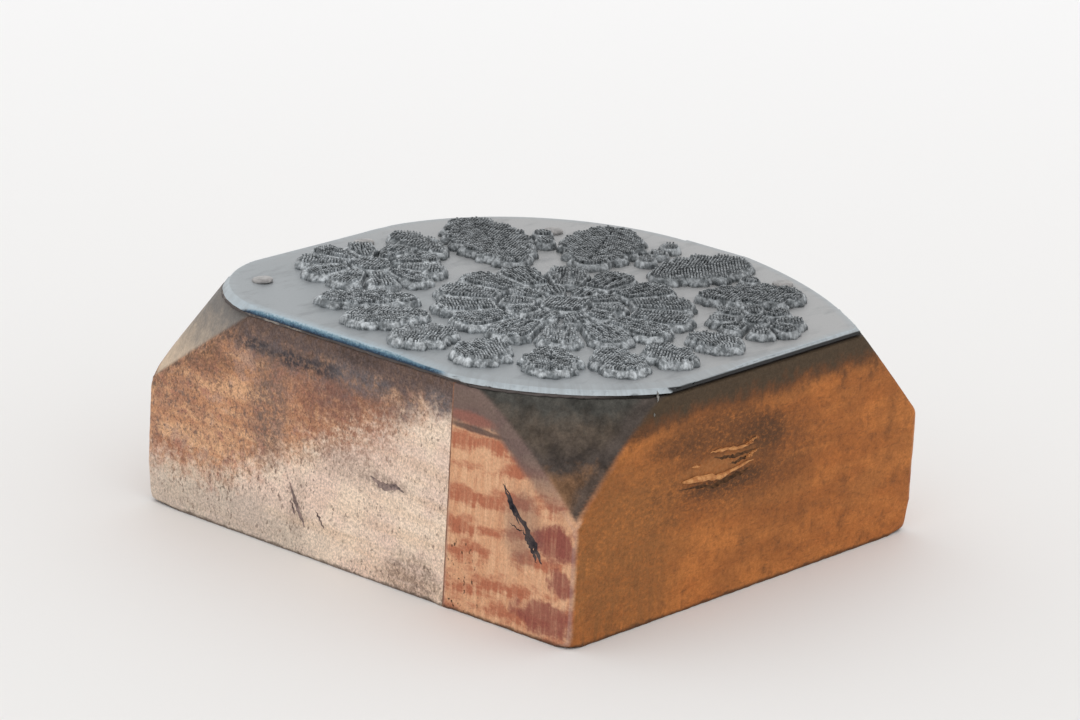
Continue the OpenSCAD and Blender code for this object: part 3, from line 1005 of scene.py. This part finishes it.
frontFacing = (0, -1, 0)
rightFacing = (1, 0, 0)
nicks = markRows(onFront, frontFacing, nickDirt, (
    (((-8.1, 6.8), (-7.4, 5.4), (-6.8, 4.3), (-5.9, 2.9)), 0, 0.3, 0.22, 1, {"wander": 0.06, "cuts": 20}),
    (((-7.9, 5.2), (-7.2, 3.7)), 0, 0.15, 0.16, 2, {}),
    (((-4.7, 5.0), (-3.4, 3.3)), 0, 0.14, 0.14, 9, {}),
    (((1.9, 10.1), (3.1, 9.6), (4.1, 9.45), (5.2, 9.85), (6.2, 9.5)), 0, 0.36, 0.13, 3,
     {"wander": 0.08, "cuts": 20}),
))
cracks = markRows(onFront, frontFacing, crackDirt, (
    (((17.9, 14.3), (18.9, 12.4), (20.6, 10.5), (21.9, 8.9), (23.0, 7.3)), 0, 0.36, 0.32, 4,
     {"wander": 0.13, "peak": 0.7, "cuts": 30}),
    (((18.0, 13.6), (19.0, 11.8), (20.3, 10.2)), 0, 0.2, 0.22, 21, {"wander": 0.1, "cuts": 18}),
    (((20.6, 9.9), (21.6, 8.6), (22.4, 7.2)), 0, 0.24, 0.2, 22, {"wander": 0.12, "cuts": 18}),
    (((18.9, 10.2), (19.9, 9.8), (20.8, 9.7)), 0, 0.07, 0.15, 10, {}),
))
tears = markRows(onRight, rightFacing, tornShade, (
    (((-11.0, 12.0), (-5.2, 11.35), (-2.6, 11.8), (0.2, 12.0)), 0, 0.26, 0.3, 5,
     {"wander": 0.14, "cuts": 22}),
    (((-6.0, 14.1), (-3.0, 13.6), (0.2, 13.7)), 0, 0.2, 0.22, 6, {"wander": 0.1, "cuts": 20}),
    (((-3.6, 13.0), (-0.6, 13.2)), 0, 0.2, 0.22, 12, {}),
))
splinters = markRows(onRight, rightFacing, tornWood, (
    (((-10.4, 12.75), (-7.0, 12.5), (-5.1, 12.15), (-2.6, 12.5), (-0.2, 12.75)), 0.05, 0.3, 0.3, 7,
     {"wander": 0.07, "peak": 0.3}),
    (((-6.6, 14.75), (-5.0, 14.7), (-2.5, 14.35), (-0.4, 14.4)), 0.02, 0.16, 0.3, 8, {"wander": 0.05}),
    (((-1.6, 14.4), (0.1, 14.9)), 0.05, 0.07, 0.2, 14, {}),
    (((-1.4, 13.1), (0.4, 13.7)), 0.05, 0.08, 0.22, 15, {}),
    (((-9.2, 13.9), (-7.8, 13.8)), 0.0, 0.12, 0.2, 16, {}),
))


def makeBoard(node, name, slot, jointFace, wood, cuts, raised, s):
    board = wornBoard(node, name, jointFace, s)
    near, marks = boardMarks(board, s)
    cutMarks(board, wood, cuts, s)
    board = joinPieces([board] + [spindle(**mark) for mark in raised], name)
    paintMarks(board, near, marks)
    finishPiece(board, slot, node)


makeBoard("wide_board", "wideBoard", "pale_wood", boardHigh.x, paleGrain, nicks, [], boardSettings)
makeBoard("edge_strip", "edgeStrip", "red_wood", stripLow.x, redGrain, cracks + tears, splinters,
          boardSettings)
setMaterials(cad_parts["glue_seam"], gluePaint)
print("boards made")

# Card and plate: thin sheets, cut into a grid so that their edges can be roughened
bradNames = ("brad_left", "brad_right", "brad_back", "brad_far")
bradBoxes = [[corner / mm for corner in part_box(name)] for name in bradNames]
bradHeadTall = 0.4
floorZ = bradBoxes[0][1].z - bradHeadTall  # floor of the plate, which the brads' heads sit on
sheetSettings = {
    "cutPitch": 0.8,
    "bradRadius": 1.0,
    "cardUneven": 0.16,
    "plateUneven": 0.05,
    "rimWide": 1.3,
    "rimRound": 0.12,
    "rimDrop": 0.14,
    "filedFrom": 28.0,
    "filedWide": 1.8,
    "filedDrop": 0.3,
    "filedFade": 4.0,
    "filedReach": 0.2,
    # slivers of zinc left hanging over the sawn corner
    "burrFace": (0.73, -0.38, 0.57),
    "burrs": (
        {"path": ((25.9, -13.75, 21.95), (26.1, -13.9, 21.55), (26.36, -14.16, 21.06)), "across": 0.11,
         "deep": 0.08, "seed": 41, "wander": 0.06},
        {"path": ((26.62, -14.85, 20.25), (26.72, -14.95, 19.95)), "across": 0.08, "deep": 0.06, "seed": 42,
         "wander": 0.02},
    ),
    "floorWave": 0.05,
    "floorWaveSize": 6.0,
    "floorWaveFrom": (1.8, 4.0),
    "creaseAngle": 40,
    "mergeWithin": 0.02,
    "wallWithin": 0.02,
    "levelWithin": 0.01,
}


def isUpright(face):
    return abs(face.normal.z) < 0.9


# The sheet without its holes: its outer walls, closed again above and below
def plainSheet(node, name, low, high, rims, s):
    sheet = copyNode(node, name)

    def isWall(face):
        spot = face.center / mm
        clear = all((spot.xy - ((box[0] + box[1]) / 2).xy).length > s["bradRadius"] for box in bradBoxes)
        return clear and isUpright(face) and spot.z < high.z - s["wallWithin"]

    selectOnly(sheet, "FACE", lambda face: not isWall(face))
    bpy.ops.mesh.delete(type="FACE")
    objectMode()
    for level in (low.z, high.z):
        selectOnly(sheet, "VERT", lambda vertex: abs(vertex.co.z / mm - level) < s["levelWithin"])
        bpy.ops.mesh.edge_face_add()
        objectMode()
    selectOnly(sheet, "FACE", lambda face: face.center.z / mm > high.z - s["levelWithin"])
    for rim in rims:
        bpy.ops.mesh.inset(thickness=rim * mm, depth=0)
    objectMode()
    selectAll(sheet)
    bpy.ops.mesh.delete_loose()
    for axis, start, end in (((1, 0, 0), low.x, high.x), ((0, 1, 0), low.y, high.y)):
        for k in range(1, int((end - start) / s["cutPitch"])):
            spot = Vector(axis) * (start + k * s["cutPitch"]) * mm
            selectEverything()
            bpy.ops.mesh.bisect(plane_co=spot, plane_no=axis)
    selectEverything()
    bpy.ops.mesh.remove_doubles(threshold=s["mergeWithin"] * mm)
    faceOutwards()
    objectMode()
    return sheet


# The points of the sheet's upright walls
def wallPoints(mesh):
    points = set()
    for face in mesh.polygons:
        if isUpright(face):
            points.update(face.vertices)
    return [mesh.vertices[i] for i in sorted(points)]


# Shifts each point of the outline a little inwards
def roughenEdge(sheet, uneven, rng):
    for point in wallPoints(sheet.data):
        inward = -Vector((point.co.x, point.co.y, 0)).normalized()
        point.co += inward * rng.uniform(0, uneven) * mm


def makeCard(s):
    card = plainSheet("interlay_card", "interlayCard", cardLow, cardHigh, (), s)
    mergeClose(card, s["cardUneven"])
    roughenEdge(card, s["cardUneven"], random.Random(11))
    setMaterials(card, cardPaper)
    finishPiece(card, "card", "interlay_card")


def makePlate(s):
    high = Vector((plateHigh.x, plateHigh.y, floorZ))
    rims = (s["rimRound"], s["rimRound"], s["rimWide"])
    plate = plainSheet("relief_plate", "zincPlate", plateLow, high, rims, s)
    roughenEdge(plate, s["plateUneven"], random.Random(12))
    mesh = plate.data
    for point in wallPoints(mesh):
        if point.co.z / mm > floorZ - s["levelWithin"]:
            point.co.z -= s["rimDrop"] * mm
    spots = vertexArray(mesh)
    outline = nearestIn([(point.co.x / mm, point.co.y / mm, 0) for point in wallPoints(mesh)])
    inside = np.array([outline.find(spot)[2] for spot in spots * np.array((1, 1, 0))])
    # filed down over the sawn front corner
    corner = softStep(spots[:, 0] - spots[:, 1], s["filedFrom"], s["filedFrom"] + s["filedFade"])
    filed = corner * softStep(s["filedWide"] - inside, 0, s["filedWide"])
    filed *= spots[:, 2] > floorZ - s["filedReach"]
    spots[:, 2] -= filed * s["filedDrop"]
    placeVertices(mesh, spots)
    marks = {"rim": np.clip(1 - inside / s["rimWide"], 0, 1) + filed, "wall": inside < s["wallWithin"]}
    addMarks(mesh, marks)
    weigh(plate, "floor", softStep(inside, *s["floorWaveFrom"]) * (spots[:, 2] > floorZ - s["wallWithin"]))
    ruffle(plate, "floorWaves", s["floorWaveSize"], s["floorWave"], 0.5, "floor")
    plate.vertex_groups.clear()
    smoothBelow(s["creaseAngle"])
    setMaterials(plate, makeZincFloor(zincFinish, plateLow.z, floorZ, plateLow.y))
    burrs = [spindle(face=s["burrFace"], dirt=burrMetal, **burr) for burr in s["burrs"]]
    plate = joinPieces([plate] + burrs, "zincPlate")
    finishPiece(plate, "zinc", "relief_plate")


makeCard(sheetSettings)
makePlate(sheetSettings)
print("card and plate made")

# Raised design: lumpy bodies set with rows of fine posts
reliefSettings = {
    "field": 0.66,
    "rim": 0.70,
    "skirt": ((0.06, 0.70), (0.16, 0.52), (0.26, 0.22), (0.31, -0.06)),
    "groove": 0.26,
    "grooveWidth": 0.16,
    "pitch": 0.3,
    "margin": 0.06,
    "postFoot": 0.26,
    "postWaist": 0.21,
    "postTip": 0.15,
    "postWaistAt": 0.6,
    "postUneven": 0.12,
    "postLean": 0.02,
    "fieldSpare": 1.45,
    "sink": 0.05,
    "petalGap": 0.4,
    "petalTurn": 0.012,
    # where a petal starts to round off, over how much of its length, and how blunt
    "petalRound": (0.55, 0.45, 1.04),
    "rowSlant": 38,
    "lumpPitch": 1.15,
    "lumpWide": 1.25,
    "lumpDeep": 1.15,
    "lumpHigh": 1.16,
    "lumpTurn": 0.15,
    "lumpSizes": (0.85, 1.12),
    "lumpCut": -0.28,
    # height in the lump, lean and narrowing from there up
    "lumpSlope": ((0.2, -0.08, 0.92), (0.4, -0.12, 0.9), (0.6, -0.12, 0.85)),
}
reliefHeight = plateHigh.z - floorZ
postFootZ = floorZ + reliefSettings["field"] - reliefSettings["sink"]
postMetal = makeReliefPosts(reliefFinish, postFootZ, plateHigh.z)
shoulderMetal = makeReliefShoulder(reliefFinish)
# the field between the posts, painted dark as painted shade
shadedFieldMetal = makeMottled("shadedField", reliefFinish["field"], reliefFinish["postFoot"], 2.0, 0.6, 0.3)


# One post, tapering twice to its tip
def modelPost(s):
    deselectAll()
    low = s["field"] - s["groove"] - s["sink"]
    waist = low + (reliefHeight - low) * s["postWaistAt"]
    bpy.ops.mesh.primitive_cube_add(size=1)
    post = bpy.context.object
    for vertex in post.data.vertices:
        width = s["postFoot"] if vertex.co.z < 0 else s["postWaist"]
        vertex.co = Vector((vertex.co.x * width, vertex.co.y * width, low if vertex.co.z < 0 else waist))
    selectOnly(post, "FACE", lambda face: face.normal.z > 0.9)
    extrudeUp(reliefHeight - waist)
    shrink = s["postTip"] / s["postWaist"]
    bpy.ops.transform.resize(value=(shrink, shrink, 1), center_override=(0, 0, reliefHeight))
    objectMode()
    return post


# One knuckle of metal, as they stand along the edge of a form, facing +X
def modelLump(s):
    deselectAll()
    bpy.ops.mesh.primitive_ico_sphere_add(subdivisions=2, radius=0.5)
    lump = bpy.context.object
    selectAll(lump)
    bpy.ops.mesh.bisect(plane_co=(0, 0, s["lumpCut"]), plane_no=(0, 0, 1), clear_inner=True, use_fill=True)
    selectEverything()
    bpy.ops.transform.translate(value=(0, 0, -s["lumpCut"]))
    objectMode()
    # leaning back and narrowing as it rises
    for level, lean, narrow in s["lumpSlope"]:
        selectOnly(lump, "VERT", lambda vertex: vertex.co.z > level)
        bpy.ops.transform.translate(value=(lean, 0, 0))
        bpy.ops.transform.resize(value=(1, narrow, 1), center_override=(0, 0, 0))
        objectMode()
    bpy.ops.object.shade_smooth()
    return lump


postModel = modelPost(reliefSettings)
postPoints = len(postModel.data.vertices)
lumpModel = modelLump(reliefSettings)
print("post and lump modelled:", postPoints, "and", len(lumpModel.data.vertices), "points")


# A field of posts in a box, cut back to the ones that a test keeps
def postField(low, high, turn, keep, rng, s):
    span = max(high[0] - low[0], high[1] - low[1]) * s["fieldSpare"]
    count = int(span / s["pitch"]) + 1
    field = copyPiece(postModel, Matrix.Identity(4))
    for offset in ((s["pitch"], 0, 0), (0, s["pitch"], 0)):
        applyModifier(field, "ARRAY", count=count, use_relative_offset=False, use_constant_offset=True,
                      constant_offset_displace=offset)
    centre = Vector(((low[0] + high[0]) / 2, (low[1] + high[1]) / 2, 0))
    half = (count - 1) * s["pitch"] / 2
    corner = Matrix.Translation((-half, -half, 0))
    field.data.transform(Matrix.Translation(centre) @ Matrix.Rotation(turn, 4, "Z") @ corner)
    spots = (vertexArray(field.data) * mm).reshape(-1, postPoints, 3)
    middles = spots.mean(axis=1)
    kept = [bool(keep(float(m[0]), float(m[1]))) for m in middles]
    for k in np.flatnonzero(kept):
        tall = spots[k, :, 2] > s["field"]
        spots[k, tall, 2] -= rng.uniform(0, s["postUneven"])
        for axis in (0, 1):
            spots[k, tall, axis] += rng.uniform(-s["postLean"], s["postLean"])
    field.data.vertices.foreach_set("co", spots.ravel())
    selectOnly(field, "VERT", lambda vertex: not kept[vertex.index // postPoints])
    bpy.ops.mesh.delete(type="VERT")
    objectMode()
    for face in field.data.polygons:
        face.material_index = 2
    return field


# Lumps set at even steps along an edge, facing away from the form's middle
def lumpsAlong(edge, middle, rng, s):
    points = [Vector(point) for point in edge]
    lumps = []
    travelled, due = 0.0, s["lumpPitch"] / 2
    for a, b in zip(points, points[1:]):
        step = (b - a).length
        while step > 0 and travelled + step >= due:
            spot = a.lerp(b, (due - travelled) / step)
            outward = Vector((b.y - a.y, a.x - b.x))
            if outward.dot(spot - Vector(middle)) < 0:
                outward.negate()
            turn = math.atan2(outward.y, outward.x) + rng.uniform(-s["lumpTurn"], s["lumpTurn"])
            size = [s[name] * rng.uniform(*s["lumpSizes"]) for name in ("lumpDeep", "lumpWide", "lumpHigh")]
            matrix = Matrix.Translation((spot.x, spot.y, -s["sink"])) @ Matrix.Rotation(turn, 4, "Z")
            lumps.append(copyPiece(lumpModel, matrix @ Matrix.Diagonal((*size, 1))))
            due += s["lumpPitch"]
        travelled += step
    return lumps


# The body of one form: a grid bent to its outline, with a rounded skirt down to the floor
def bodyForm(outline, rows, columns, size, grooves, s):
    deselectAll()
    bpy.ops.mesh.primitive_grid_add(x_subdivisions=rows, y_subdivisions=columns, size=1)
    form = bpy.context.object
    for vertex in form.data.vertices:
        along, across = vertex.co.x + 0.5, 2 * vertex.co.y
        edge = max(abs(across), abs(2 * vertex.co.x)) > 0.999
        x, y = outline(along, across)
        nearness = max((1 - abs(y - line(along)) / s["grooveWidth"] for line in grooves), default=0)
        vertex.co = Vector((x, y, s["rim"] if edge else s["field"] - s["groove"] * max(nearness, 0)))
    inner = len(form.data.polygons)
    pick(form)
    editMode("EDGE")
    selectEverything()
    bpy.ops.mesh.region_to_loop()
    out, height = 0.0, s["rim"]
    for nextOut, nextHeight in s["skirt"]:
        bpy.ops.mesh.extrude_edges_move(TRANSFORM_OT_translate={"value": (0, 0, nextHeight - height)})
        grow = [(extent + 2 * nextOut) / (extent + 2 * out) for extent in size[:2]]
        bpy.ops.transform.resize(value=(grow[0], grow[1], 1), center_override=(size[2], size[3], nextHeight))
        out, height = nextOut, nextHeight
    bpy.ops.mesh.edge_face_add()
    faceOutwards()
    objectMode()
    bpy.ops.object.shade_smooth()
    for face in form.data.polygons:
        face.material_index = 1 if face.index < inner else 0
    return form


def steps(low, high, count):
    return [low + (high - low) * k / count for k in range(count + 1)]


# A petal along +X from rIn to rOut, as wide as its share of the ring allows
def petalForm(rIn, rOut, count, ribs, rng, s):
    length = rOut - rIn
    start, span, blunt = s["petalRound"]

    def half(u):
        roundness = 1 if u < start else math.sqrt(max(blunt - ((u - start) / span) ** 2, 0))
        return roundness * (math.pi * (rIn + u * length) / count - s["petalGap"])

    def outline(u, v):
        return rIn + u * length, v * half(u)

    lines = [lambda u, k=k: (2 * k / ribs - 1) * half(u) for k in range(1, ribs)]

    def keep(x, y):
        u = (x - rIn) / length
        if not 0 < u < 1 or abs(y) > half(u) - s["margin"]:
            return False
        fade = math.sin(math.pi * u)
        return all(abs(y - line(u)) > s["grooveWidth"] * fade for line in lines)

    wide = max(half(u) for u in steps(0, 1, 20))
    body = bodyForm(outline, 14, 4 * ribs, (length, 2 * wide, rIn + length / 2, 0), lines, s)
    posts = postField((rIn, -wide), (rOut, wide), 0, keep, rng, s)
    tip = [outline(u, 1) for u in steps(0.6, 1, 16)] + [outline(u, -1) for u in steps(1, 0.6, 16)]
    return joinPieces([body, posts] + lumpsAlong(tip, outline(0.5, 0), rng, s), "petal")


def petalRing(rIn, rOut, count, ribs, rng, s):
    petal = petalForm(rIn, rOut, count, ribs, rng, s)
    ring = [petal]
    for k in range(1, count):
        turn = 2 * math.pi * k / count + rng.uniform(-s["petalTurn"], s["petalTurn"])
        ring.append(copyPiece(petal, Matrix.Rotation(turn, 4, "Z")))
    return ring


# A lobed leaf along +X, its rows of posts slanting out from the midrib
def leafForm(length, width, rng, d, s):
    slant = math.radians(s["rowSlant"])
    lobes = max(3, round(length / d["lobePitch"]))

    def half(u):
        u = min(max(u, 0), 1)
        belly = 0.1 + 0.9 * max(math.sin(math.pi * u ** 1.2), 0) ** 0.6
        return width / 2 * belly * (1 - d["lobeDepth"] * (1 - abs(math.sin(math.pi * lobes * u))))

    def outline(u, v):
        return u * length, v * half(u)

    def keep(x, y):
        u = x / length
        return 0.02 < u < 0.98 and 0.5 * s["grooveWidth"] < y < half(u) - s["margin"]

    midrib = [lambda u: 0.0]
    body = bodyForm(outline, 6 * lobes, 10, (length, width, length / 2, 0), midrib, s)
    left = postField((0, 0), (length, width / 2), slant, keep, rng, s)
    mirror = copyPiece(left, Matrix.Scale(-1, 4, (0, 1, 0)))
    selectAll(mirror)
    bpy.ops.mesh.flip_normals()
    objectMode()
    edge = [outline(u, 1) for u in steps(0.06, 1, 60)] + [outline(u, -1) for u in steps(1, 0.06, 60)]
    return joinPieces([body, left, mirror] + lumpsAlong(edge, outline(0.5, 0), rng, s), "leaf")


# A round stud for a blossom's heart or a berry
def studForm(radius, rng, s):
    def outline(u, v):
        a, b = 2 * u - 1, v
        return radius * a * math.sqrt(1 - b * b / 2), radius * b * math.sqrt(1 - a * a / 2)

    def keep(x, y):
        return math.hypot(x, y) < radius - s["margin"]

    body = bodyForm(outline, 10, 10, (2 * radius, 2 * radius, 0, 0), [], s)
    posts = postField((-radius, -radius), (radius, radius), 0.4, keep, rng, s)
    return joinPieces([body, posts], "stud")


def settle(parts, name, centre):
    piece = joinPieces(parts, name)
    piece.data.transform(Matrix.Scale(mm, 4) @ Matrix.Translation((centre[0], centre[1], floorZ)))
    setMaterials(piece, shoulderMetal, shadedFieldMetal, postMetal)
    finishPiece(piece, "zinc", "relief_plate")
    print(name, "made:", len(piece.data.polygons), "faces")


# Layout of the flower spray, as the frame's plate has it
sprayDesign = {
    "bloomAt": (5.5, -3.0),
    "bloomRings": ((6.6, 12.2, 14, 3), (2.9, 5.8, 10, 2)),
    "bloomHeart": 2.1,
    "sideAt": (-14.8, -7.6),
    "sideRing": (2.6, 7.0, 10, 2),
    "sideHeart": 1.8,
    "smallAt": (20.2, 7.4),
    "smallRing": (2.0, 4.4, 8, 2),
    "smallHeart": 1.2,
    "leafOff": 1.4,
    "lobePitch": 2.3,
    "lobeDepth": 0.3,
    "bloomLeaves": (
        (92, -12, 11.6, 7.6), (122, -4, 13.6, 8.0), (150, 1, 15.4, 8.4), (63, -8, 10.4, 6.4),
        (9, -2, 5.4, 4.6), (-13, -5, 5.8, 4.8), (-33, 3, 6.8, 5.2), (-54, 4, 7.0, 5.4),
        (-75, 0, 6.6, 5.4), (-97, -3, 6.8, 5.4), (-117, -6, 8.0, 5.2), (-137, 4, 9.4, 4.6),
    ),
    "sideLeaves": ((78, 90, 8.0, 4.2),),
    "berryRows": ((105, 18.2, 3), (136, 21.0, 2), (73, 21.0, 1)),
    "berryRadius": 0.9,
    "berryPitch": 2.7,
}


def spun(bearing, away, turn=0):
    bearingTurn = Matrix.Rotation(math.radians(bearing), 4, "Z")
    return bearingTurn @ Matrix.Translation((away, 0, 0)) @ Matrix.Rotation(math.radians(turn), 4, "Z")


def leavesRound(rows, radius, rng, d, s):
    parts = []
    for bearing, turn, length, width in rows:
        leaf = leafForm(length, width, rng, d, s)
        leaf.data.transform(spun(bearing, radius + d["leafOff"], turn))
        parts.append(leaf)
    return parts


def makeSpray(d, s):
    rng = random.Random(23)
    bloom = [studForm(d["bloomHeart"], rng, s)]
    for ring in d["bloomRings"]:
        bloom += petalRing(*ring, rng, s)
    settle(bloom, "largeBlossom", d["bloomAt"])
    for which in ("side", "small"):
        heart = studForm(d[which + "Heart"], rng, s)
        settle([heart] + petalRing(*d[which + "Ring"], rng, s), which + "Blossom", d[which + "At"])
    settle(leavesRound(d["bloomLeaves"], d["bloomRings"][0][1], rng, d, s), "bloomLeaves", d["bloomAt"])
    settle(leavesRound(d["sideLeaves"], d["sideRing"][1], rng, d, s), "sideLeaf", d["sideAt"])
    berries = []
    for bearing, first, count in d["berryRows"]:
        for k in range(count):
            berry = studForm(d["berryRadius"], rng, s)
            berry.data.transform(spun(bearing, first + k * d["berryPitch"]))
            berries.append(berry)
    settle(berries, "berries", d["bloomAt"])


makeSpray(sprayDesign, reliefSettings)
bpy.data.objects.remove(postModel)
bpy.data.objects.remove(lumpModel)
print("raised design made")

# Brads: flat heads, hammered a little out of true
bradSettings = {
    "sides": 20,
    "headShare": 0.84,
    # share of the head's radius and height at each step of its profile
    "headProfile": ((1.0, 0.45), (0.95, 0.75), (0.82, 0.95), (0.45, 1.0)),
    "shankRadius": 0.55,
    "tipLength": 2.2,
    "dents": 0.03,
    "tilts": (7, 4, 3, 5),
    "firstSeed": 30,
    "creaseAngle": 35,
}


def makeBrad(name, low, high, tilt, seed, s):
    rng = random.Random(seed)
    radius = s["headShare"] * (high.x - low.x) / 2
    centre = (low + high) / 2
    headTall = high.z - floorZ
    deselectAll()
    bpy.ops.mesh.primitive_circle_add(vertices=s["sides"], radius=radius * mm, fill_type="NGON")
    brad = bpy.context.object
    brad.data.transform(Matrix.Translation((0, 0, floorZ * mm)))
    selectAll(brad)
    wide, tall = 1.0, 0.0
    for nextWide, nextTall in s["headProfile"]:
        rise = (nextTall - tall) * headTall * mm
        extrudeUp(rise)
        bpy.ops.transform.resize(value=(nextWide / wide, nextWide / wide, 1))
        wide, tall = nextWide, nextTall
    faceOutwards()
    objectMode()
    for vertex in brad.data.vertices:
        if vertex.co.z / mm > floorZ + headTall / 2:
            vertex.co.z -= rng.uniform(0, s["dents"]) * mm
    selectAll(brad)
    bpy.ops.transform.rotate(value=math.radians(tilt), orient_axis="Y", center_override=(0, 0, floorZ * mm))
    objectMode()
    # the shank below, down to its point
    selectOnly(brad, "FACE", lambda face: face.normal.z < -0.9)
    bpy.ops.mesh.inset(thickness=(radius - s["shankRadius"]) * mm, depth=0)
    drop = floorZ - low.z - s["tipLength"]
    extrudeUp(-drop * mm)
    extrudeUp(-s["tipLength"] * mm)
    bpy.ops.mesh.merge(type="CENTER")
    objectMode()
    smoothBelow(s["creaseAngle"])
    brad.data.transform(Matrix.Translation((centre.x * mm, centre.y * mm, 0)))
    brad.name = name.replace("_", " ").title().replace(" ", "") + "Head"
    setMaterials(brad, bradSteel)
    finishPiece(brad, "brad_steel", name)


for k, (name, box, tilt) in enumerate(zip(bradNames, bradBoxes, bradSettings["tilts"])):
    makeBrad(name, *box, tilt, bradSettings["firstSeed"] + k, bradSettings)
print("brads made")
